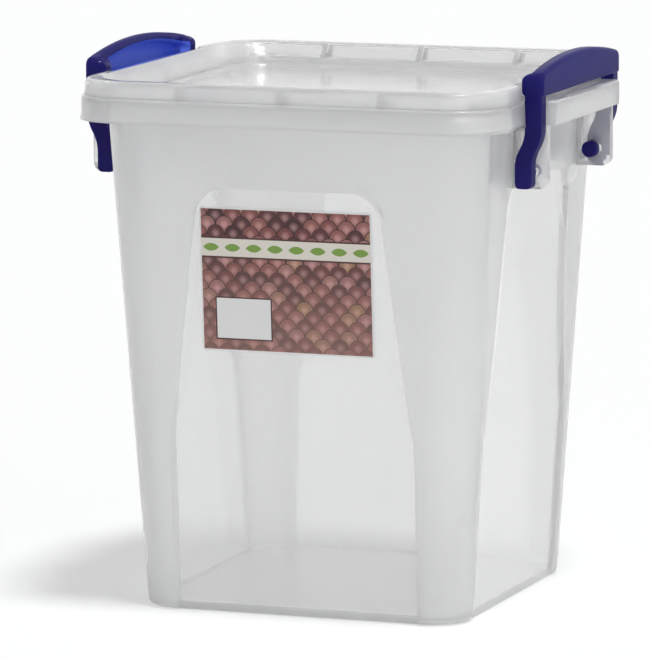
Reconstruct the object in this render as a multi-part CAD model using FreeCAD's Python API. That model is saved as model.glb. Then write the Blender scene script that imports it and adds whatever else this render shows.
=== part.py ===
import FreeCAD, Part
import math
import os

# Square storage tub with a lift-off lid, two swing clips and a stuck-on label.
# Millimetres, +Z up, origin at the middle of the base, front towards -Y, clips on +X and -X.

Vector = FreeCAD.Vector
UP = Vector(0, 0, 1)
ACROSS = Vector(0, 1, 0)
CENTRE = Vector(0, 0, 0)
PAST = 5.0                   # how far a cutting shape runs past the face that it opens

# Tub walls and floor
tub_height = 226.0           # base to the top of the rim
base_width = 149.2           # across the base
mouth_width = 177.0          # across the outside of the walls at the rim
base_corner = 17.0           # plan radius of a corner at the base
mouth_corner = 22.0          # plan radius of a corner at the rim
wall = 2.0
floor = 2.6
base_round = 3.0             # rounding under the base
floor_round = 3.0            # rounding where the walls meet the floor inside

# Sunken panel in each wall
panel_depth = 1.8
panel_lean = 1.4             # how far the panel's border leans out over its depth
panel_drop = 38.5            # rim top to the panel's top
panel_top_half = 41.2        # half of its width under the top corners
panel_foot_half = 55.0       # half of its width from the shoulder down
panel_shoulder = 79.0        # height where the flare ends
panel_corner = 12.0

# Turned-down rim
rim_reach = 9.0              # overhang of the rim beyond the wall
rim_drop = 10.6              # height of its skirt
rim_flare = 0.3              # how far the skirt leans out
rim_lip = 0.3                # lip at the foot of the skirt
rim_lip_rise = 1.6          # height of that lip
rim_corner = 25.0
rim_round = 1.4
skirt = 1.8                  # thickness of the skirt and of the ledge above it

# Tabs and ears that carry the clips
tab_reach = 11.0             # tab beyond the rim
tab_half = 46.5              # half of its length
tab_top = 3.4                # thickness of its top
tab_round = 3.0              # plan radius of its corners
notch_half = 21.0            # finger notch in the edge of the tab
notch_depth = 3.6
notch_drop = 1.5
notch_lean = 3.0             # slope of the notch's ends
ear_wall = 4.5
ear_drop = 38.2              # rim top to the foot of the ears
ear_inset = 3.7              # ears behind the face of the tab
ear_round = 4.0

# Hinge
pin_drop = 30.8              # rim top to the pin axis
pin_radius = 3.6
pin_clearance = 0.08         # all round in the ear
pin_proud = 4.0              # pin beyond the inner face of the ear
pin_chamfer = 0.6

# Lid
lid_wall = 1.8
lid_rise = 7.2               # crest above the rim
lid_inset = 1.0              # lid wall behind the rim's edge
lid_draft = 0.6              # lean of the lid's outer wall over its height
lid_corner = 24.5
lid_round = 2.0
crest_reach = 1.5            # inner edge of the crest beyond the tub's wall
crest_corner = 22.0
plug_depth = 7.0             # plug below the rim's top
plug_clearance = 0.3
lid_sink = 11.0              # floor of the lid below the crest
pan_round = 2.0
rib = 2.4
rib_pitch = 46.0
rib_clearance = 0.8          # ribs above the rim

# Clip
slot_depth = 1.2             # rim cut back where an arm passes
arm_clearance = 0.8          # arm to the rim
arm_side_clearance = 0.5     # arm to the ear
arm_width = 7.2
arm_depth = 7.6
arm_tail = 6.8               # arm below the pin axis
arm_bend_start = 2.2         # above the pin axis
arm_bend_rise = 17.0
arm_round = 1.0
tail_round = 2.2
grip_lift = 2.3              # grip's lower edge above the rim
grip_setback = 2.9           # grip behind the face of the tab
grip_wall = 2.4
grip_roof = 3.4
grip_roof_depth = 5.6        # top of the grip behind its face
grip_end_rise = 9.8          # height of the grip at its ends
grip_crown = 5.3             # extra height in its middle
grip_corner = 2.0            # plan radius at the ends of the face
grip_shoulder = 3.6          # radius at the ends of the top
grip_round = 1.2
cheek_rise = 5.6             # straight part of the cheek at each end of the grip
cheek_clearance = 3.9        # cheek to the lid
cheek_round = 2.4            # radius under the cheek

# Catch between clip and lid
hook_reach = 8.0             # hook behind the face of the grip
hook_wall = 2.6
hook_nose = 2.2              # length of the hook's sloped underside
hook_slope = 36.0            # degrees
hook_clearance = 0.35
hook_bite = 3.0              # overlap of hook and ledge, seen from above
ledge_end_clearance = 3.0    # ledge to the arms
ledge_round = 2.0
recess_clearance = 1.5       # grip to the end of the recess in the lid
recess_round = 3.0

# Label
label_gap = 1.8              # label to the panel's side, before the shift
label_height = 63.0
label_drop = 8.3             # panel's top to the label
label_shift = -1.2           # off the middle of the panel
label_thickness = 0.2
label_corner = 1.2

# Places that follow from the sizes
base_half = base_width / 2
mouth_half = mouth_width / 2
rim_half = mouth_half + rim_reach
rim_foot = tub_height - rim_drop
slot_x = rim_half - slot_depth
tab_out = rim_half + tab_reach
ear_out = tab_out - ear_inset
ear_foot = tub_height - ear_drop
pin_x = slot_x
pin_z = tub_height - pin_drop
arm_y = tab_half + arm_side_clearance
grip_half = arm_y + arm_width
grip_low = tub_height + grip_lift
grip_end = grip_low + grip_end_rise
grip_out = tab_out - grip_setback
hook_in = grip_out - hook_reach
hook_tan = math.tan(math.radians(hook_slope))
lid_half = rim_half - lid_inset
lid_top = tub_height + lid_rise
lid_floor = lid_top - lid_sink
crest_half = mouth_half + crest_reach
recess_x = crest_half + lid_wall
recess_half = grip_half + recess_clearance
cheek_in = recess_x + cheek_clearance
ledge_out = hook_in + hook_bite
ledge_half = arm_y - ledge_end_clearance
panel_top = tub_height - panel_drop
label_top = panel_top - label_drop
label_half = panel_top_half - label_gap
wall_slant = math.atan2(mouth_half - base_half, tub_height)


def wall_half(z):
    """Half of the tub's outside width at height z."""
    return base_half + (mouth_half - base_half) * z / tub_height


def wall_corner(z):
    """Plan radius of the tub's corners at height z."""
    return base_corner + (mouth_corner - base_corner) * z / tub_height


def rounded_square(half, corner, z):
    """Outline of a square with round corners."""
    flat = half - corner
    bulge = flat + corner * math.sqrt(0.5)
    edges = []
    for quarter in range(4):
        turn = FreeCAD.Rotation(UP, 90 * quarter)
        start = turn.multVec(Vector(half, -flat, z))
        end = turn.multVec(Vector(half, flat, z))
        middle = turn.multVec(Vector(bulge, bulge, z))
        side = turn.multVec(Vector(flat, half, z))
        edges.append(Part.makeLine(start, end))
        edges.append(Part.Arc(end, middle, side).toShape())
    return Part.Wire(edges)


def tapered_block(*sections):
    """Solid through outlines given as (half width, corner radius, height)."""
    return Part.makeLoft([rounded_square(*section) for section in sections], True, True)


def tub_section(inset, z):
    """Outline that follows the tub's taper, set in from its outside."""
    return (wall_half(z) - inset, wall_corner(z) - inset, z)


def box(x_range, y_range, z_range):
    """Box between two corners."""
    size = [high - low for low, high in (x_range, y_range, z_range)]
    return Part.makeBox(*size, Vector(x_range[0], y_range[0], z_range[0]))


def rounded(solid, radius, chosen):
    """Solid with the edges that chosen(box of the edge) picks out rounded."""
    edges = [edge for edge in solid.Edges if chosen(edge.BoundBox)]
    return solid.makeFillet(radius, edges)


def at(value, wanted):
    """True where a coordinate is the wanted one."""
    return abs(value - wanted) < 1e-4


def level(z):
    """Picks the edges that lie flat at height z."""
    return lambda b: at(b.ZMin, z) and at(b.ZMax, z)


def along_y(points, half):
    """Prism along Y, from -half to half, of a polygon given as (x, z) points."""
    corners = [Vector(x, -half, z) for x, z in points]
    face = Part.Face(Part.makePolygon(corners + corners[:1]))
    return face.extrude(Vector(0, 2 * half, 0))


def turned(shape, angle):
    """Copy of a shape, turned about the upright axis."""
    copy = shape.copy()
    copy.rotate(CENTRE, UP, angle)
    return copy


def both_sides(shape):
    """The shape and its twin on the opposite side of the tub."""
    return [shape, turned(shape, 180)]


def all_round(shape):
    """The shape on each of the four sides."""
    return [turned(shape, 90 * quarter) for quarter in range(4)]


# Sunken panels. A point is placed by u across the front wall, v up its slope and w out of it.
def on_front(u, v, w):
    """Point in space of a place on the front wall."""
    sine = math.sin(wall_slant)
    cosine = math.cos(wall_slant)
    return Vector(u, -base_half - v * sine - w * cosine, v * cosine - w * sine)


def up_slope(z):
    """Length up the front wall that reaches height z."""
    return z / math.cos(wall_slant)


def panel_outline(grow, w):
    """Outline of the panel, grown all round: arched top, flared sides, straight foot."""
    spread = panel_foot_half - panel_top_half
    arc_v = up_slope(panel_top - panel_corner)
    run = arc_v - up_slope(panel_shoulder)
    flare = (spread ** 2 + run ** 2) / (2 * spread)
    flare_turn = math.acos((flare - spread - grow) / (flare - grow))
    corner_u = panel_top_half - panel_corner

    def corner_point(angle):
        reach = panel_corner + grow
        return (corner_u + reach * math.cos(angle), arc_v + reach * math.sin(angle))

    def flare_point(angle):
        reach = flare - grow
        return (panel_top_half + flare - reach * math.cos(angle), arc_v - reach * math.sin(angle))

    half = [(panel_foot_half + grow, -PAST), flare_point(flare_turn), flare_point(flare_turn / 2),
            flare_point(0), corner_point(math.pi / 4), corner_point(math.pi / 2)]
    right = [on_front(u, v, w) for u, v in half]
    left = [on_front(-u, v, w) for u, v in half]
    edges = [Part.makeLine(right[0], right[1]),
             Part.Arc(right[1], right[2], right[3]).toShape(),
             Part.Arc(right[3], right[4], right[5]).toShape(),
             Part.makeLine(right[5], left[5]),
             Part.Arc(left[5], left[4], left[3]).toShape(),
             Part.Arc(left[3], left[2], left[1]).toShape(),
             Part.makeLine(left[1], left[0]),
             Part.makeLine(left[0], right[0])]
    return Part.Wire(edges)


def panel_sink(inset):
    """Space that the panel takes out of the front wall, or out of a copy of it set in from the outside."""
    lean = panel_lean / panel_depth
    deep = panel_outline(inset, -panel_depth - inset)
    proud = panel_outline(inset + lean * (panel_depth + wall), wall - inset)
    return Part.makeLoft([deep, proud], True, True)


# Tub
def tub_walls():
    """Outside of the tapered walls, and the space inside them."""
    outside = tapered_block(tub_section(0, 0), tub_section(0, tub_height))
    outside = rounded(outside, base_round, level(0))
    inside = tapered_block(tub_section(wall, floor), tub_section(wall, tub_height + PAST))
    inside = rounded(inside, floor_round, level(floor))
    return outside.cut(all_round(panel_sink(0))), inside.cut(all_round(panel_sink(wall)))


def tab_block():
    """Outside of one tab, with the finger notch in its edge."""
    tab = box((mouth_half, tab_out), (-tab_half, tab_half), (rim_foot, tub_height))
    tab = rounded(tab, tab_round, lambda b: at(b.XMin, tab_out) and at(b.YMin, b.YMax))
    tab = rounded(tab, rim_round, lambda b: at(b.ZMin, tub_height) and b.XMax > mouth_half + rim_round)
    low = tub_height - notch_drop
    high = tub_height + PAST
    wide = notch_half + notch_lean * (notch_drop + PAST) / notch_drop
    ends = [(-notch_half, low), (notch_half, low), (wide, high), (-wide, high)]
    corners = [Vector(tab_out - notch_depth, y, z) for y, z in ends]
    notch = Part.Face(Part.makePolygon(corners + corners[:1])).extrude(Vector(notch_depth + PAST, 0, 0))
    return tab.cut(notch)


def rim_and_tabs():
    """Turned-down rim with a tab on each clip side, open underneath, cut back where the arms pass."""
    lip_top = rim_foot + rim_lip_rise
    rim_out = rim_half + rim_flare + rim_lip
    rim = tapered_block((rim_out, rim_corner, rim_foot), (rim_half + rim_flare, rim_corner, lip_top),
                        (rim_half, rim_corner, tub_height))
    rim = rounded(rim, rim_round, level(tub_height))
    low = rim_foot - PAST
    slot_half = grip_half + arm_side_clearance
    slot = box((slot_x, rim_out + PAST), (-slot_half, slot_half), (low, tub_height + PAST))
    rim = rim.cut(both_sides(slot)).fuse(both_sides(tab_block()))

    under_corner = rim_corner - skirt
    under = tapered_block((rim_half + rim_flare - skirt, under_corner, low),
                          (rim_half - skirt, under_corner, tub_height - skirt))
    slot_wall = box((slot_x - skirt, rim_half + rim_flare), (-slot_half - skirt, slot_half + skirt),
                    (low, tub_height))
    under = under.cut(both_sides(slot_wall))
    inner_half = tab_half - ear_wall
    tab_under = box((mouth_half - wall, tab_out - skirt), (-inner_half, inner_half),
                    (low, tub_height - tab_top))
    return rim.cut([under] + both_sides(tab_under))


def ears():
    """Pair of pierced ears under one tab."""
    start = Vector(pin_x, -tab_half, pin_z)
    hole = Part.makeCylinder(pin_radius + pin_clearance, 2 * tab_half, start, ACROSS)
    pair = []
    for y in (-tab_half, tab_half - ear_wall):
        ear = box((mouth_half - rim_reach, ear_out), (y, y + ear_wall), (ear_foot, tub_height - skirt / 2))
        ear = rounded(ear, ear_round, lambda b: at(b.XMin, ear_out) and at(b.ZMax, ear_foot))
        pair.append(ear.cut(hole))
    return Part.makeCompound(pair)


def make_tub():
    outside, inside = tub_walls()
    solid = outside.fuse([rim_and_tabs()] + both_sides(ears()))
    return solid.cut(inside).removeSplitter()


# Lid
def lid_recess(grow):
    """Space beside the lid that the grip of one clip sits in, grown by a wall's thickness."""
    half = recess_half + grow
    recess = box((recess_x - grow, lid_half + PAST), (-half, half), (tub_height - PAST, lid_top + PAST))
    return rounded(recess, recess_round, lambda b: at(b.XMax, recess_x - grow) and at(b.YMin, b.YMax))


def lid_ribs():
    """Stiffening ribs that cross the hollow rim on one side."""
    heights = (tub_height + rib_clearance, lid_top - lid_wall / 2)
    places = [step * rib_pitch for step in (-1, 0, 1)]
    inner = mouth_half - wall - plug_clearance - lid_wall
    return Part.makeCompound([box((inner, lid_half), (y - rib / 2, y + rib / 2), heights) for y in places])


def catch_ledge():
    """Ledge beside the lid that the hook of a clip slides over, open underneath."""
    inner = recess_x - lid_wall / 2
    drop = hook_clearance / math.cos(math.radians(hook_slope))
    top = grip_low + hook_nose * hook_tan - drop + hook_clearance
    slope_start = hook_in - hook_clearance / hook_tan
    edge = top - (ledge_out - slope_start) * hook_tan
    ledge = along_y([(inner, tub_height), (ledge_out, tub_height), (ledge_out, edge), (slope_start, top),
                     (inner, top)], ledge_half)
    ledge = rounded(ledge, ledge_round, lambda b: at(b.XMin, ledge_out) and at(b.YMin, b.YMax))
    hollow_low = tub_height - PAST
    hollow_top = top - lid_wall
    hollow_out = slope_start - lid_wall / 2
    hollow = along_y([(recess_x, hollow_low), (hollow_out, hollow_low), (hollow_out, hollow_top),
                      (recess_x, hollow_top)], ledge_half - lid_wall)
    return ledge.cut(hollow)


def make_lid():
    outside = tapered_block((lid_half, lid_corner, tub_height), (lid_half - lid_draft, lid_corner, lid_top))
    outside = rounded(outside, lid_round, level(lid_top)).cut(both_sides(lid_recess(0)))
    lean = lid_draft / lid_rise
    hollow_half = lid_half - lid_wall
    hollow_corner = lid_corner - lid_wall
    hollow_rise = lid_rise - lid_wall
    hollow = tapered_block((hollow_half + lean * PAST, hollow_corner, tub_height - PAST),
                           (hollow_half - lean * hollow_rise, hollow_corner, tub_height + hollow_rise))
    hollow = hollow.cut(both_sides(lid_recess(lid_wall)))

    inset = wall + plug_clearance
    plug_foot = tub_height - plug_depth
    plug = tapered_block(tub_section(inset, plug_foot), tub_section(inset, tub_height),
                         (crest_half + lid_wall, crest_corner + lid_wall, lid_top))
    pan = tapered_block(tub_section(inset + lid_wall, lid_floor), tub_section(inset + lid_wall, tub_height),
                        (crest_half, crest_corner, lid_top), (crest_half, crest_corner, lid_top + PAST))
    pan = rounded(pan, pan_round, level(lid_floor))
    under = tapered_block(tub_section(inset + lid_wall, plug_foot - PAST),
                          tub_section(inset + lid_wall, lid_floor - lid_wall))
    ribs = [rib_set.common(outside) for rib_set in all_round(lid_ribs())]
    plug = plug.cut([under] + both_sides(lid_recess(0)))
    shell = outside.cut(hollow).fuse([plug] + ribs)
    return shell.cut(pan).fuse(both_sides(catch_ledge())).removeSplitter()


# Clip
def arm_edge(x_low, x_high):
    """S-shaped edge of an arm, from its straight tail up to its straight neck."""
    z_low = pin_z + arm_bend_start
    z_high = z_low + arm_bend_rise
    step = x_high - x_low
    radius = (step ** 2 + arm_bend_rise ** 2) / (4 * step)
    half_turn = math.asin(arm_bend_rise / 2 / radius) / 2
    over = radius * (1 - math.cos(half_turn))
    rise = radius * math.sin(half_turn)
    middle = Vector((x_low + x_high) / 2, 0, (z_low + z_high) / 2)
    lower = Part.Arc(Vector(x_low, 0, z_low), Vector(x_low + over, 0, z_low + rise), middle)
    upper = Part.Arc(middle, Vector(x_high - over, 0, z_high - rise), Vector(x_high, 0, z_high))
    return [lower.toShape(), upper.toShape()]


def clip_arm():
    """One arm, from its round tail under the pin up into the grip."""
    tail_in = pin_x - arm_depth / 2
    tail_out = pin_x + arm_depth / 2
    neck_in = slot_x + arm_clearance
    neck_out = neck_in + arm_depth
    z_tail = pin_z - arm_tail
    z_bend = pin_z + arm_bend_start
    z_neck = z_bend + arm_bend_rise
    z_top = grip_low + hook_wall / 2

    def run(*points):
        corners = [Vector(x, 0, z) for x, z in points]
        return [Part.makeLine(a, b) for a, b in zip(corners, corners[1:])]

    edges = arm_edge(tail_in, neck_in) + arm_edge(tail_out, neck_out)
    edges += run((neck_in, z_neck), (neck_in, z_top), (neck_out, z_top), (neck_out, z_neck))
    edges += run((tail_out, z_bend), (tail_out, z_tail), (tail_in, z_tail), (tail_in, z_bend))
    arm = Part.Face(Part.Wire(Part.__sortEdges__(edges))).extrude(Vector(0, arm_width, 0))
    arm = rounded(arm, tail_round, lambda b: at(b.ZMax, z_tail) and at(b.XMin, b.XMax))
    return rounded(arm, arm_round, lambda b: at(b.YMin, b.YMax) and b.ZMin < z_top - arm_round)


def arch(half, low, end, crown):
    """Face across the clip with a straight foot and an arched top."""
    corners = [Vector(0, -half, end), Vector(0, -half, low), Vector(0, half, low), Vector(0, half, end)]
    edges = [Part.makeLine(a, b) for a, b in zip(corners, corners[1:])]
    edges.append(Part.Arc(corners[3], Vector(0, 0, crown), corners[0]).toShape())
    return Part.Face(Part.Wire(edges))


def grip_block():
    """Outside of the grip: arched face, rounded ends and cheeks that lean back to the top."""
    crown = grip_end + grip_crown
    grip = arch(grip_half, grip_low, grip_end, crown).extrude(Vector(grip_out - cheek_in, 0, 0))
    grip.translate(Vector(cheek_in, 0, 0))
    grip = rounded(grip, grip_shoulder, lambda b: at(b.ZMin, grip_end) and at(b.ZMax, grip_end))
    grip = rounded(grip, cheek_round, lambda b: at(b.XMax, cheek_in) and at(b.ZMax, grip_low))
    grip = rounded(grip, grip_corner, lambda b: at(b.XMin, grip_out) and at(b.YMin, b.YMax))
    grip = rounded(grip, grip_round, lambda b: at(b.XMin, grip_out) and b.YLength > tab_half)
    roof_in = grip_out - grip_roof_depth
    lean = roof_in - cheek_in
    lean_low = grip_low + cheek_rise
    span = 2 * (grip_half + PAST)
    start = Vector(roof_in, -grip_half - PAST, lean_low)
    back = box((cheek_in - PAST, roof_in), (-grip_half - PAST, grip_half + PAST), (lean_low, crown + PAST))
    return grip.cut(back.cut(Part.makeCylinder(lean, span, start, ACROSS)))


def grip_hollow():
    """Space inside the grip, open towards the lid, and the relief that shapes the hook."""
    crown = grip_end + grip_crown
    hook_top = grip_low + hook_wall
    roof_in = grip_out - grip_roof_depth
    start = cheek_in - PAST
    hollow = arch(arm_y, hook_top, grip_end - grip_roof, crown - grip_roof)
    hollow = hollow.extrude(Vector(grip_out - grip_wall - start, 0, 0))
    hollow.translate(Vector(start, 0, 0))
    open_top = box((start, roof_in), (-arm_y, arm_y), (hook_top, crown + PAST))
    low = grip_low - PAST
    relief = along_y([(start, low), (hook_in + hook_nose + PAST / hook_tan, low),
                      (hook_in, grip_low + hook_nose * hook_tan), (hook_in, hook_top),
                      (start, hook_top)], arm_y)
    return [hollow, open_top, relief]


def clip_pin(side):
    """Pin stub on the inner face of one arm."""
    length = arm_width / 2 + arm_side_clearance + ear_wall + pin_proud
    root = Vector(pin_x, side * (arm_y + arm_width / 2), pin_z)
    pin = Part.makeCylinder(pin_radius, length, root, ACROSS * -side)
    tip = root.y - side * length
    ends = [edge for edge in pin.Edges if at(edge.BoundBox.YMin, tip) and at(edge.BoundBox.YMax, tip)]
    return pin.makeChamfer(pin_chamfer, ends)


def make_clip():
    arms = []
    for y in (-grip_half, arm_y):
        arm = clip_arm()
        arm.translate(Vector(0, y, 0))
        arms.append(arm)
    pins = [clip_pin(side) for side in (-1, 1)]
    return grip_block().cut(grip_hollow()).fuse(arms + pins).removeSplitter()


# Label
def make_label():
    bottom = up_slope(label_top - label_height)
    top = up_slope(label_top)
    left = label_shift - label_half
    right = label_shift + label_half
    places = ((left, bottom), (right, bottom), (right, top), (left, top))
    corners = [on_front(u, v, -panel_depth) for u, v in places]
    face = Part.Face(Part.makePolygon(corners + corners[:1]))
    sheet = face.extrude(on_front(0, 0, label_thickness) - on_front(0, 0, 0))
    ends = [edge for edge in sheet.Edges if at(edge.Length, label_thickness)]
    return sheet.makeFillet(label_corner, ends)


clip = make_clip()
pieces = {
    "tub": make_tub(),
    "lid": make_lid(),
    "clip_right": clip,
    "clip_left": turned(clip, 180),
    "label": make_label(),
}
os.makedirs("parts", exist_ok=True)
for name, shape in pieces.items():
    shape.exportStep(f"parts/{name}.step")
    print(name, "solids", len(shape.Solids), "valid", shape.isValid(), "volume", round(shape.Volume))
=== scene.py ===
# %% [markdown]
# # A clip-lid storage container
# The object is a tapered kitchen tub of milky see-through plastic, with a sunken lid, two blue swing
# clips and a printed label. The solid model gives every shape and size. This lesson dresses it: it turns
# the raw solids into smooth mouldings and gives them the plastics and the print of the real thing.

# %% Load the solids
import math
import bpy
from mathutils import Matrix, Vector


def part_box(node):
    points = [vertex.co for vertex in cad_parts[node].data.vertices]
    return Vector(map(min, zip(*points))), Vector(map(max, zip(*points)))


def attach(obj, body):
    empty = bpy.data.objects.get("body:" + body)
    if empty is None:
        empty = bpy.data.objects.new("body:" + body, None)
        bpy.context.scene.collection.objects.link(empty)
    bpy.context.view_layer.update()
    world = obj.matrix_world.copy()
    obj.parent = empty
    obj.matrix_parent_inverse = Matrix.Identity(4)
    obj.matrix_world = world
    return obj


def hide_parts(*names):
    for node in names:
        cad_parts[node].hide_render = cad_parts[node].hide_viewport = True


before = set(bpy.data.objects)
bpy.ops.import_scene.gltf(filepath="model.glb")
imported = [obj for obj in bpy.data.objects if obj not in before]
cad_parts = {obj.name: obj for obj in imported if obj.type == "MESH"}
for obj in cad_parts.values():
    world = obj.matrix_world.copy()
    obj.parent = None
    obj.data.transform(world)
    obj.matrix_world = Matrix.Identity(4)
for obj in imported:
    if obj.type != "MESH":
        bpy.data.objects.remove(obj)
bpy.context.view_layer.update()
scene = bpy.context.scene

# %% [markdown]
# ## Camera
# The product was photographed from a little above and to the right of its front, through a long lens, so
# its upright edges hardly converge. The camera could be turned by hand until the outlines agree. Here its
# place is worked out from three angles, a distance and a focal length, which is easier to correct.

# %% Camera
AZIMUTH = math.radians(20.29)
ELEVATION = math.radians(8.49)
ROLL = math.radians(-0.24)
DISTANCE = 2.7377
AIM = Vector((0, 0, 0.110))
OFF_CENTRE = (0.01292, -0.00543)
FOCAL_LENGTH = 337.3

level_right = Vector((math.cos(AZIMUTH), math.sin(AZIMUTH), 0))
forward = Vector((-math.sin(AZIMUTH) * math.cos(ELEVATION), math.cos(AZIMUTH) * math.cos(ELEVATION),
                  -math.sin(ELEVATION)))
level_up = level_right.cross(forward)
right = level_right * math.cos(ROLL) + level_up * math.sin(ROLL)
up = level_up * math.cos(ROLL) - level_right * math.sin(ROLL)
eye = AIM - forward * DISTANCE - right * OFF_CENTRE[0] - up * OFF_CENTRE[1]

camera_data = bpy.data.cameras.new("camera")
camera_data.lens = FOCAL_LENGTH
camera = bpy.data.objects.new("camera", camera_data)
camera.matrix_world = Matrix.Translation(eye) @ Matrix((right, up, -forward)).transposed().to_4x4()
scene.collection.objects.link(camera)
scene.camera = camera
print("camera at", [round(value, 3) for value in eye])

# %% [markdown]
# ## Shader helpers
# A finish is a small network of nodes. Placing nodes by hand in the editor is fine for one finish. Three
# short helpers do the same in code, and keep the recipes below readable.

# %% Helpers for finishes
def new_finish(name):
    """An empty material and its node tree."""
    finish = bpy.data.materials.new(name)
    finish.use_nodes = True
    finish.node_tree.nodes.clear()
    return finish, finish.node_tree


def add_node(tree, kind, inputs=None, **settings):
    """A shader node with its settings, its numbers and its links."""
    made = tree.nodes.new("ShaderNode" + kind)
    for name, value in settings.items():
        setattr(made, name, value)
    for name, value in (inputs or {}).items():
        if isinstance(value, bpy.types.NodeSocket):
            tree.links.new(value, made.inputs[name])
        else:
            made.inputs[name].default_value = value
    return made


def calc(tree, operation, *values):
    """The result of a Math node."""
    return add_node(tree, "Math", dict(enumerate(values)), operation=operation).outputs[0]


print("helpers ready")

# %% [markdown]
# ## Floor
# The photograph has a white sweep with a faint shadow on the left. A lamp strong enough to burn the floor
# white would also bleach the plastic. The floor instead glows a little to the eye only, so it stays white
# and still takes the shadow.

# %% Floor
FLOOR_SIZE = 24.0
FLOOR_DROP = 0.0004          # keeps the floor off the tub's underside
FLOOR_GLOW = 0.44
PAPER_WHITE = (0.95, 0.96, 0.97, 1)
WHITE = (1, 1, 1, 1)


def seen_directly(tree):
    """1 for what the camera sees, also in a reflection or through something clear, else 0."""
    rays = add_node(tree, "LightPath").outputs
    seen = calc(tree, "MAXIMUM", rays["Is Camera Ray"], rays["Is Glossy Ray"])
    return calc(tree, "MAXIMUM", seen, rays["Is Transmission Ray"])


bpy.ops.object.select_all(action="DESELECT")
bpy.ops.mesh.primitive_plane_add(size=FLOOR_SIZE, location=(0, 0, 0))
floor = bpy.context.object
floor.name = "studio_floor"
floor.data.transform(Matrix.Translation((0, 0, -FLOOR_DROP)))
floor_finish, tree = new_finish("white_sweep")
paper = add_node(tree, "BsdfDiffuse", {"Color": PAPER_WHITE})
glow = add_node(tree, "Emission", {"Color": WHITE, "Strength": 1.0})
share = calc(tree, "MULTIPLY", seen_directly(tree), FLOOR_GLOW)
both = add_node(tree, "MixShader", {0: share, 1: paper.outputs[0], 2: glow.outputs[0]})
add_node(tree, "OutputMaterial", {"Surface": both.outputs[0]})
floor.data.materials.append(floor_finish)
print("floor", FLOOR_SIZE, "m wide")

# %% [markdown]
# ## Studio light
# The light is soft and comes from the right and above. A photographer would use large lamps and white
# walls. Two far lamps with wide soft edges and a dim white sky give the same, and the sky looks white to
# the eye.

# %% Sky and lamps
SKY_LIGHT = 0.32

world = bpy.data.worlds.new("studio")
world.use_nodes = True
tree = world.node_tree
tree.nodes.clear()
sky = add_node(tree, "Background", {"Color": WHITE, "Strength": SKY_LIGHT})
white = add_node(tree, "Background", {"Color": WHITE, "Strength": 1.0})
both = add_node(tree, "MixShader", {0: seen_directly(tree), 1: sky.outputs[0], 2: white.outputs[0]})
add_node(tree, "OutputWorld", {"Surface": both.outputs[0]})
scene.world = world


def soft_sun(name, towards, strength, softness):
    """A lamp as far away as the sun, with a soft edge to its shadow."""
    data = bpy.data.lights.new(name, "SUN")
    data.energy = strength
    data.angle = math.radians(softness)
    lamp = bpy.data.objects.new(name, data)
    lamp.rotation_euler = Vector(towards).to_track_quat("-Z", "Y").to_euler()
    scene.collection.objects.link(lamp)


soft_sun("key_light", towards=(-0.20, 0.12, -1.0), strength=2.1, softness=11)
soft_sun("fill_light", towards=(-0.9, 0.42, -0.22), strength=0.66, softness=50)
scene.view_settings.view_transform = "Standard"
print("studio lit")

# %% [markdown]
# ## Smooth mouldings
# Injection-moulded plastic has clean faces that run smoothly into its rounded edges. The solids arrive as
# loose triangles, which would show as facets. Each is copied, its triangles are welded, and it is shaded
# smooth with normals weighted by area, so that flat faces stay flat and only the rounded edges shine.

# %% Smooth mouldings
WELD = 2e-6
SMOOTH_BELOW = math.radians(50)


def moulding(node, body):
    """A smooth copy of a solid, which stands for it."""
    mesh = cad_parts[node].data.copy()
    mesh.materials.clear()
    piece = bpy.data.objects.new(node + "_moulding", mesh)
    scene.collection.objects.link(piece)
    bpy.ops.object.select_all(action="DESELECT")
    piece.select_set(True)
    bpy.context.view_layer.objects.active = piece
    bpy.ops.object.mode_set(mode="EDIT")
    bpy.ops.mesh.select_all(action="SELECT")
    bpy.ops.mesh.remove_doubles(threshold=WELD)
    bpy.ops.object.mode_set(mode="OBJECT")
    bpy.ops.object.shade_smooth_by_angle(angle=SMOOTH_BELOW)
    weighted = piece.modifiers.new("flat faces stay flat", "WEIGHTED_NORMAL")
    weighted.keep_sharp = True
    bpy.ops.object.modifier_apply(modifier=weighted.name)
    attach(piece, body)
    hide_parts(node)
    print(piece.name, len(mesh.polygons), "faces")
    return piece


tub = moulding("tub", "tub")
lid = moulding("lid", "lid")
clips = [moulding("clip_" + side, "clip_" + side) for side in ("left", "right")]

# %% [markdown]
# ## Patterns in plastic
# Moulded plastic is never quite even. It has faint clouds where the melt flowed, and a fine grain from
# the steel of the mould. Both could be painted. Noise that is worked out in the finish has no seams and
# no end, and a few helpers turn it into colours and amounts.

# %% Clouds, grain and ramps
NOISE_LOW, NOISE_HIGH = 0.3, 0.7    # between which most of a noise lies
BUMP_HEIGHT = 0.0002                # metres


def object_place(tree):
    """Object coordinates."""
    return add_node(tree, "TexCoord").outputs["Object"]


def noise(tree, place, scale, detail):
    """The grey value of a Noise Texture."""
    return add_node(tree, "TexNoise", {"Vector": place, "Scale": scale, "Detail": detail}).outputs["Fac"]


def spread(tree, value, low, high):
    """A noise stretched to a range."""
    ends = {"Value": value, "From Min": NOISE_LOW, "From Max": NOISE_HIGH, "To Min": low, "To Max": high}
    return add_node(tree, "MapRange", ends).outputs["Result"]


def ramp(tree, value, *stops):
    """The colour that a ramp of (place, colour) stops gives to a value."""
    made = add_node(tree, "ValToRGB", {"Fac": value})
    colours = made.color_ramp.elements
    while len(colours) < len(stops):
        colours.new(1.0)
    for stop, (place, colour) in zip(colours, stops):
        stop.position = place
        stop.color = (*colour, 1)
    return made.outputs["Color"]


def cloudy(tree, cloud, dim, pale):
    """A colour that wanders between two with the clouds."""
    return ramp(tree, cloud, (NOISE_LOW, dim), (NOISE_HIGH, pale))


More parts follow.
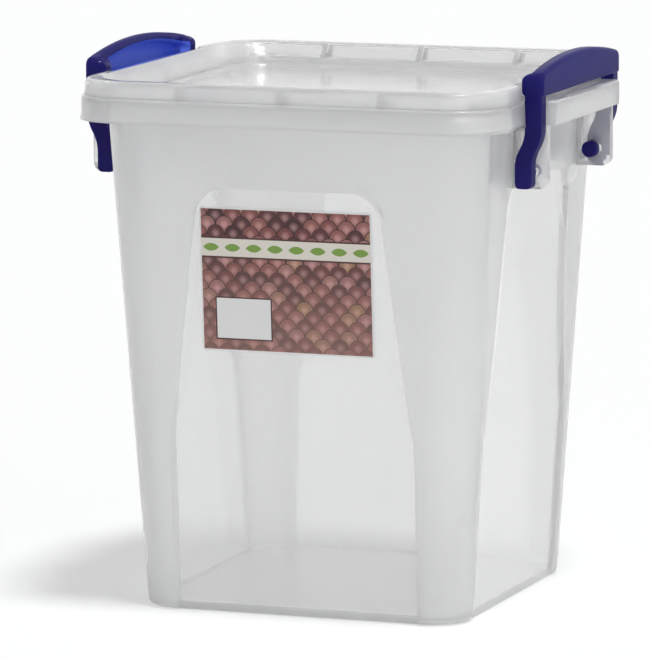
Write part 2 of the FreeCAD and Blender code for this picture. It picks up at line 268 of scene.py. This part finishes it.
def bumped(tree, height, strength):
    """A normal that a noise roughens."""
    inputs = {"Height": height, "Strength": strength, "Distance": BUMP_HEIGHT}
    return add_node(tree, "Bump", inputs).outputs["Normal"]


def mix_colour(tree, share, first, second):
    """Second colour over the first."""
    return add_node(tree, "Mix", {0: share, 6: first, 7: second}, data_type="RGBA").outputs[2]


print("patterns ready")

# %% [markdown]
# ## Clear places on the tub
# The four sunken windows of the tub come from a polished part of the mould, so they are clearer than the
# frosted walls round them. The ears that carry the clips are a little clearer too. A second material on
# chosen faces would need faces that end where the polish ends. A sum on Object coordinates draws that
# edge freely.

# %% Windows and ears
WINDOW_TOP = 0.1875           # in metres, as all places on the mouldings
WINDOW_SHOULDER = 0.079
WINDOW_TOP_HALF = 0.0412
WINDOW_FOOT_HALF = 0.055
WINDOW_CORNER = 0.012
WINDOW_FOOT = 0.0036
EAR_INNER = 0.0895
EAR_TOP = 0.215
EAR_CLEARNESS = 0.65


def place_parts(tree):
    """The three Object coordinates."""
    return add_node(tree, "SeparateXYZ", {"Vector": object_place(tree)}).outputs


def product(tree, first, *others):
    """Several values multiplied."""
    for other in others:
        first = calc(tree, "MULTIPLY", first, other)
    return first


def beyond(tree, value, limit):
    """How far a value is past a limit, 0 before it."""
    return calc(tree, "MAXIMUM", calc(tree, "SUBTRACT", value, limit), 0.0)


def distance(tree, first, second):
    """The length of two sides of a right angle."""
    return calc(tree, "SQRT", calc(tree, "ADD", product(tree, first, first), product(tree, second, second)))


def tub_clear_share(tree):
    """1 on the clear windows of the tub, a little less on its ears, 0 on the frosted rest."""
    parts = place_parts(tree)
    along = calc(tree, "MINIMUM", calc(tree, "ABSOLUTE", parts["X"]), calc(tree, "ABSOLUTE", parts["Y"]))
    half = add_node(tree, "MapRange", {
        "Value": parts["Z"], "From Min": WINDOW_SHOULDER, "From Max": WINDOW_TOP,
        "To Min": WINDOW_FOOT_HALF - WINDOW_CORNER,
        "To Max": WINDOW_TOP_HALF - WINDOW_CORNER}).outputs["Result"]
    far = distance(tree, beyond(tree, along, half), beyond(tree, parts["Z"], WINDOW_TOP - WINDOW_CORNER))
    window = product(tree, calc(tree, "LESS_THAN", far, WINDOW_CORNER),
                     calc(tree, "GREATER_THAN", parts["Z"], WINDOW_FOOT))
    ear = product(tree, calc(tree, "GREATER_THAN", calc(tree, "ABSOLUTE", parts["X"]), EAR_INNER),
                  calc(tree, "LESS_THAN", parts["Z"], EAR_TOP), EAR_CLEARNESS)
    return calc(tree, "MAXIMUM", window, ear)


print("windows", 2 * WINDOW_TOP_HALF, "to", 2 * WINDOW_FOOT_HALF, "m wide")

# %% [markdown]
# ## Clear places on the lid
# The sunken pan of the lid is polished, and so are its front and back walls. Its rim is a hollow channel
# crossed by ribs. At the front and back, light shines through the channel, and each rib stands in it as a
# grey bar: the ribs are painted darker as painted shade. The rest of the lid is frosted. The same sums tell
# these places apart.

# %% Pan and hollow rim
PAN_STRAIGHT = 0.072          # from the middle to where the pan's corners start
PAN_CORNER = 0.0186
PAN_WALL_FOOT = 0.2245
CHANNEL = (0.0121, 0.0232)    # inner and outer wall, past the straight part of the pan
CHANNEL_TOP = 0.2325
CHANNEL_FOOT = 0.2262
RIB_PITCH = 0.046
RIB_HALF = 0.0013


def lid_clear_share(tree):
    """1 on the lid's polished pan and its front and back walls, 0 on the frosted rest."""
    parts = place_parts(tree)
    side, depth = [calc(tree, "ABSOLUTE", parts[axis]) for axis in "XY"]
    far = distance(tree, beyond(tree, side, PAN_STRAIGHT), beyond(tree, depth, PAN_STRAIGHT))
    floor_or_wall = calc(tree, "MAXIMUM", calc(tree, "LESS_THAN", parts["Z"], PAN_WALL_FOOT),
                         calc(tree, "GREATER_THAN", depth, side))
    return product(tree, calc(tree, "LESS_THAN", far, PAN_CORNER), floor_or_wall)


def hollow_rim_share(tree):
    """1 on the faces inside the lid's hollow rim, and 1 on the ribs that cross it."""
    parts = place_parts(tree)
    side, depth = [calc(tree, "ABSOLUTE", parts[axis]) for axis in "XY"]
    far = distance(tree, beyond(tree, side, PAN_STRAIGHT), beyond(tree, depth, PAN_STRAIGHT))
    inner, outer = CHANNEL
    within = product(tree, calc(tree, "GREATER_THAN", far, inner), calc(tree, "LESS_THAN", far, outer),
                     calc(tree, "LESS_THAN", parts["Z"], CHANNEL_TOP),
                     calc(tree, "GREATER_THAN", parts["Z"], CHANNEL_FOOT),
                     calc(tree, "GREATER_THAN", depth, side))
    nearest_rib = calc(tree, "SNAP", calc(tree, "ADD", side, RIB_PITCH / 2), RIB_PITCH)
    off_rib = calc(tree, "ABSOLUTE", calc(tree, "SUBTRACT", side, nearest_rib))
    rib = product(tree, within, calc(tree, "LESS_THAN", off_rib, RIB_HALF))
    return calc(tree, "SUBTRACT", within, rib), rib


print("rim channel", round(CHANNEL[1] - CHANNEL[0], 4), "m wide")

# %% [markdown]
# ## Milky plastic
# Natural polypropylene is glossy outside and cloudy inside: a thing that touches it shows through, and a
# thing far behind it blurs away. Scattering in a volume would do this slowly. Rough glass under a thin
# gloss coat does it quickly, and the clear places only lower its roughness and its cloudiness.

# %% Milky plastic
MILK_CLOUDS = 26.0            # per metre
MILK_GRAIN = 700.0
TONE_WANDER = 0.006
COOL_STEP = 0.001             # from red to green, and from green to blue
ROUGHNESS_WANDER = 0.02
CLEAR_ROUGHNESS = 0.1
CLEAR_COLOUR = (0.99, 0.99, 0.99, 1)
# painted shade: a darker grey on the ribs inside the hollow rim, where the thick ribs hold back the light
RIB_SHADE_GREY = (0.78, 0.78, 0.78, 1)
SHINE_THROUGH = 0.1           # share of the light that spreads on the far side
HOLLOW_DEPTH = 0.98
SHINE_COLOUR = (0.97, 0.972, 0.975, 1)


def between(tree, share, frosted, clear):
    """A number for the frosted faces and one for the clear faces."""
    return add_node(tree, "MapRange", {"Value": share, "To Min": frosted, "To Max": clear}).outputs["Result"]


def faintly_cool(tone):
    """A grey with a breath of blue."""
    return tone, tone + COOL_STEP, tone + 2 * COOL_STEP


def milky_plastic(name, clear_share, frost, tone, frosted_depth, clear_depth, gloss, hollow_share=None):
    """Cloudy plastic with frosted faces, clear faces and, on a hollow rim, the clear faces inside it."""
    finish, tree = new_finish(name)
    cloud = noise(tree, object_place(tree), MILK_CLOUDS, detail=3.0)
    grain = noise(tree, object_place(tree), MILK_GRAIN, detail=2.0)
    share = clear_share(tree)
    if hollow_share:
        hollow, rib = hollow_share(tree)
        share = calc(tree, "MAXIMUM", share, hollow)
    colour = cloudy(tree, cloud, faintly_cool(tone - TONE_WANDER), faintly_cool(tone + TONE_WANDER))
    colour = mix_colour(tree, share, colour, CLEAR_COLOUR)
    depth = between(tree, share, frosted_depth, clear_depth)
    spreading = SHINE_THROUGH
    if hollow_share:
        # The ribs are painted a darker grey, a painted shade where they hold back the light through the
        # channel.
        colour = mix_colour(tree, rib, colour, RIB_SHADE_GREY)
        depth = between(tree, hollow, depth, HOLLOW_DEPTH)
        spreading = between(tree, hollow, SHINE_THROUGH, 0.0)
    rough = calc(tree, "ADD", between(tree, share, frost, CLEAR_ROUGHNESS),
                 spread(tree, cloud, -ROUGHNESS_WANDER, ROUGHNESS_WANDER))
    body = add_node(tree, "BsdfPrincipled", {
        "Base Color": colour, "Roughness": rough, "IOR": 1.3, "Transmission Weight": depth,
        "Coat Weight": 1.0, "Coat Roughness": gloss, "Coat IOR": 1.5,
        "Normal": bumped(tree, grain, strength=0.04)})
    through = add_node(tree, "BsdfTranslucent", {"Color": SHINE_COLOUR})
    both = add_node(tree, "MixShader", {0: spreading, 1: body.outputs[0], 2: through.outputs[0]})
    add_node(tree, "OutputMaterial", {"Surface": both.outputs[0]})
    return finish


tub.data.materials.append(milky_plastic(
    "frosted_tub_plastic", tub_clear_share, frost=0.5, tone=0.91, frosted_depth=0.72, clear_depth=0.88,
    gloss=0.07))
lid.data.materials.append(milky_plastic(
    "frosted_lid_plastic", lid_clear_share, frost=0.85, tone=0.82, frosted_depth=0.62, clear_depth=0.8,
    gloss=0.16, hollow_share=hollow_rim_share))
print("milky plastic on", tub.name, "and", lid.name)

# %% [markdown]
# ## Painted glow in the hollow of a grip
# A clip looks almost black where it is thick, and lights up to a clear blue in the hollow of its grip,
# where light comes through a thin wall. That glow is painted light: the hollow gets a pale blue colour.
# The hollow could be its own piece. Its four limits and the arch of its roof are enough to find it on the
# clip.

# %% Hollow of a grip
GRIP_OUTER_WALL = 0.1045
GRIP_HOLLOW_HALF = 0.0475
GRIP_FOOT = 0.2286
GRIP_ROOF = 0.2408             # underside of the arched roof at its middle
GRIP_ARCH = 2.05               # how fast the arch falls to its ends, per metre


def painted_glow_share(tree):
    """1 in the hollow of the grip, where a pale blue is painted as the light that comes through, 0
    elsewhere.
    """
    parts = place_parts(tree)
    arched_height = calc(tree, "ADD", parts["Z"], product(tree, parts["Y"], parts["Y"], GRIP_ARCH))
    return product(tree, calc(tree, "LESS_THAN", calc(tree, "ABSOLUTE", parts["X"]), GRIP_OUTER_WALL),
                   calc(tree, "LESS_THAN", calc(tree, "ABSOLUTE", parts["Y"]), GRIP_HOLLOW_HALF),
                   calc(tree, "GREATER_THAN", parts["Z"], GRIP_FOOT),
                   calc(tree, "LESS_THAN", arched_height, GRIP_ROOF))


print("grip hollow", 2 * GRIP_HOLLOW_HALF, "m long")

# %% [markdown]
# ## Blue plastic
# The clips are moulded in a deep blue with a satin gloss. Paint alone would look dead. A translucent
# share in the finish lets the light glow through, and faint clouds and grain break up the gloss.

# %% Blue plastic
BLUE_CLOUDS = 60.0
BLUE_GRAIN = 1400.0
DIM_BLUE, PALE_BLUE = (0.012, 0.007, 0.086), (0.018, 0.011, 0.110)
# painted light: the pale blue given to the hollow of the grip, for the glow through its thin wall
PAINTED_GLOW_BLUE = (0.085, 0.16, 0.8, 1)
BLUE_GLOW = (0.26, 0.30, 0.92, 1)
BLUE_GLOW_SHARE = 0.24


def blue_plastic():
    """Deep blue plastic, with a painted pale blue glow in the hollow of the grip."""
    finish, tree = new_finish("deep_blue_plastic")
    cloud = noise(tree, object_place(tree), BLUE_CLOUDS, detail=3.0)
    grain = noise(tree, object_place(tree), BLUE_GRAIN, detail=2.0)
    # The hollow of the grip is painted pale blue: painted light for the glow through its thin wall.
    colour = mix_colour(tree, painted_glow_share(tree), cloudy(tree, cloud, DIM_BLUE, PALE_BLUE), PAINTED_GLOW_BLUE)
    skin = add_node(tree, "BsdfPrincipled", {
        "Base Color": colour, "Roughness": spread(tree, cloud, low=0.3, high=0.4), "IOR": 1.49,
        "Specular IOR Level": 0.02, "Coat Weight": 0.13, "Coat Roughness": 0.06,
        "Normal": bumped(tree, grain, strength=0.1)})
    through = add_node(tree, "BsdfTranslucent", {"Color": BLUE_GLOW})
    both = add_node(tree, "MixShader", {0: BLUE_GLOW_SHARE, 1: skin.outputs[0], 2: through.outputs[0]})
    add_node(tree, "OutputMaterial", {"Surface": both.outputs[0]})
    return finish


blue_finish = blue_plastic()
for piece in clips:
    piece.data.materials.append(blue_finish)
print("blue plastic on", [piece.name for piece in clips])

# %% [markdown]
# ## Scales for the label
# The label is a printed film stuck in the front panel. Its print is warm maroon and rose. A picture file
# could hold it, but a pattern worked out in the finish needs no file: rows of scales like roof tiles,
# each in its own shade. Every other row is shifted by half a scale, and each scale covers the foot of the
# row above it.

# %% Scales
MILLIMETRES = 1000           # in a metre
SCALE_WIDTH = 8.0            # in millimetres, as all of the print
SCALE_EDGE = 0.9             # where a scale's outline starts, as a share of its radius
ROW_STEP = 37.0              # keeps the numbers of the rows apart
PRINT_LINE = (0.045, 0.016, 0.018, 1)


def scale_row(tree, columns, row, rise):
    """Distance from the middle of a scale in this row, and the number of the scale."""
    shift = calc(tree, "MULTIPLY", calc(tree, "FLOORED_MODULO", row, 2.0), 0.5)
    shifted = calc(tree, "ADD", columns, shift)
    aside = calc(tree, "MULTIPLY", calc(tree, "SUBTRACT", calc(tree, "FRACT", shifted), 0.5), 2.0)
    number = calc(tree, "ADD", calc(tree, "MULTIPLY", row, ROW_STEP), calc(tree, "FLOOR", shifted))
    return distance(tree, aside, rise), number


def choose(tree, pick, yes, no):
    """yes where pick is 1, no where it is 0."""
    return calc(tree, "ADD", product(tree, pick, yes), product(tree, calc(tree, "SUBTRACT", 1.0, pick), no))


def scales(tree, across, along):
    """Rows of overlapping scales in maroon, brown and rose."""
    columns = calc(tree, "DIVIDE", across, SCALE_WIDTH)
    rows = calc(tree, "DIVIDE", along, SCALE_WIDTH / 2)
    row = calc(tree, "FLOOR", rows)
    rise = calc(tree, "FRACT", rows)
    near_far, near_number = scale_row(tree, columns, row, rise)
    next_far, next_number = scale_row(tree, columns, calc(tree, "ADD", row, 1.0),
                                      calc(tree, "SUBTRACT", 1.0, rise))
    in_front = calc(tree, "LESS_THAN", near_far, 1.0)
    far = choose(tree, in_front, near_far, next_far)
    number = choose(tree, in_front, near_number, next_number)
    shade = add_node(tree, "TexWhiteNoise", {"W": number}, noise_dimensions="1D").outputs["Value"]
    colour = ramp(tree, shade, (0.0, (0.055, 0.018, 0.020)), (0.3, (0.16, 0.045, 0.045)),
                  (0.6, (0.27, 0.10, 0.085)), (0.85, (0.33, 0.15, 0.15)), (1.0, (0.30, 0.17, 0.08)))
    shine = ramp(tree, far, (0.0, (0.30, 0.20, 0.19)), (0.45, (0.10, 0.05, 0.05)), (0.6, (0.0, 0.0, 0.0)))
    lit = add_node(tree, "Mix", {0: 1.0, 6: colour, 7: shine}, data_type="RGBA", blend_type="ADD").outputs[2]
    return mix_colour(tree, calc(tree, "GREATER_THAN", far, SCALE_EDGE), lit, PRINT_LINE)


print("scales", SCALE_WIDTH, "mm wide")

# %% [markdown]
# ## Leaf band and writing box
# A pale band of green leaves crosses the print, and a blank box is left to write in. Each is a shape that
# a few sums can tell from the rest: a rectangle by its half sizes, and a leaf as the part that two
# circles share.

# %% Rectangles and leaves
LEAF_STEP = 9.8
LEAF_RADIUS = 4.7
LEAF_OFFSET = 3.0             # from the leaf's long axis to the middle of each circle


def inside_box(tree, across, along, middle, half):
    """1 inside a rectangle of the print, else 0."""
    far = [calc(tree, "DIVIDE", calc(tree, "ABSOLUTE", calc(tree, "SUBTRACT", value, centre)), reach)
           for value, centre, reach in zip((across, along), middle, half)]
    return calc(tree, "LESS_THAN", calc(tree, "MAXIMUM", *far), 1.0)


def leaves(tree, across, along, height):
    """1 on a row of pointed leaves, else 0."""
    step = calc(tree, "SUBTRACT", calc(tree, "FRACT", calc(tree, "DIVIDE", across, LEAF_STEP)), 0.5)
    aside = calc(tree, "MULTIPLY", step, LEAF_STEP)
    rise = calc(tree, "ABSOLUTE", calc(tree, "SUBTRACT", along, height))
    far = distance(tree, aside, calc(tree, "ADD", rise, LEAF_OFFSET))
    return calc(tree, "LESS_THAN", far, LEAF_RADIUS)


print("leaves", LEAF_STEP, "mm apart")

# %% [markdown]
# ## Printed film
# The print is laid down in layers, as in a press: the scales, paler towards the foot, then the band, the
# leaves and the box with their dark outlines, and last the bare border of the film. The film keeps the
# shape of its solid, so only its finish is new.

# %% Printed film
LABEL_MIDDLE = sum((Vector(corner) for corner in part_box("label")), Vector()) * MILLIMETRES / 2
LABEL_HALF = [(high - low) * MILLIMETRES / 2 for low, high in zip(*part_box("label"))]
LABEL_BORDER = 0.7
BAND_MIDDLE = (0, 14)
BAND_HALF = (60, 3.9)
BOX_MIDDLE = (-20, -17)
BOX_HALF = (12.4, 8.8)
BAND_LINE, BOX_LINE = 0.7, 0.6
FADE_FOOT, FADE_TOP, FADE_MOST = -31, 18, 0.42
DARK_PRINT = (0.07, 0.022, 0.024, 1)
FADED_PRINT = (0.42, 0.25, 0.21, 1)
CREAM = (0.76, 0.72, 0.64, 1)
LEAF_GREEN = (0.20, 0.34, 0.06, 1)
BOX_WHITE = (0.80, 0.80, 0.79, 1)
BARE_FILM = (0.80, 0.79, 0.78, 1)


def printed_film():
    """The label's print on a satin film."""
    finish, tree = new_finish("printed_film")
    place = add_node(tree, "Mapping", {"Vector": object_place(tree), "Scale": [MILLIMETRES] * 3,
                                       "Location": -LABEL_MIDDLE}).outputs["Vector"]
    parts = add_node(tree, "SeparateXYZ", {"Vector": place}).outputs
    across, along = parts["X"], parts["Z"]

    def lay(colour, middle, half, ink, grow=0.0):
        """A rectangle of ink on what is printed already."""
        half = [size + grow for size in half]
        return mix_colour(tree, inside_box(tree, across, along, middle, half), colour, ink)

    fade = add_node(tree, "MapRange", {"Value": along, "From Min": FADE_FOOT, "From Max": FADE_TOP,
                                       "To Min": FADE_MOST, "To Max": 0.0}).outputs["Result"]
    colour = mix_colour(tree, fade, scales(tree, across, along), FADED_PRINT)
    colour = lay(colour, BAND_MIDDLE, BAND_HALF, DARK_PRINT, BAND_LINE)
    colour = lay(colour, BAND_MIDDLE, BAND_HALF, CREAM)
    colour = mix_colour(tree, leaves(tree, across, along, BAND_MIDDLE[1]), colour, LEAF_GREEN)
    colour = lay(colour, BOX_MIDDLE, BOX_HALF, DARK_PRINT, BOX_LINE)
    colour = lay(colour, BOX_MIDDLE, BOX_HALF, BOX_WHITE)
    colour = lay(BARE_FILM, (0, 0), (LABEL_HALF[0], LABEL_HALF[2]), colour, -LABEL_BORDER)
    ink = noise(tree, place, scale=1.6, detail=2.0)
    film = add_node(tree, "BsdfPrincipled", {
        "Base Color": colour, "Roughness": spread(tree, ink, low=0.32, high=0.44), "IOR": 1.46,
        "Normal": bumped(tree, ink, strength=0.08)})
    add_node(tree, "OutputMaterial", {"Surface": film.outputs[0]})
    return finish


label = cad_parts["label"]
label.data.materials.clear()
label.data.materials.append(printed_film())
print("label printed, middle at", [round(value, 1) for value in LABEL_MIDDLE])
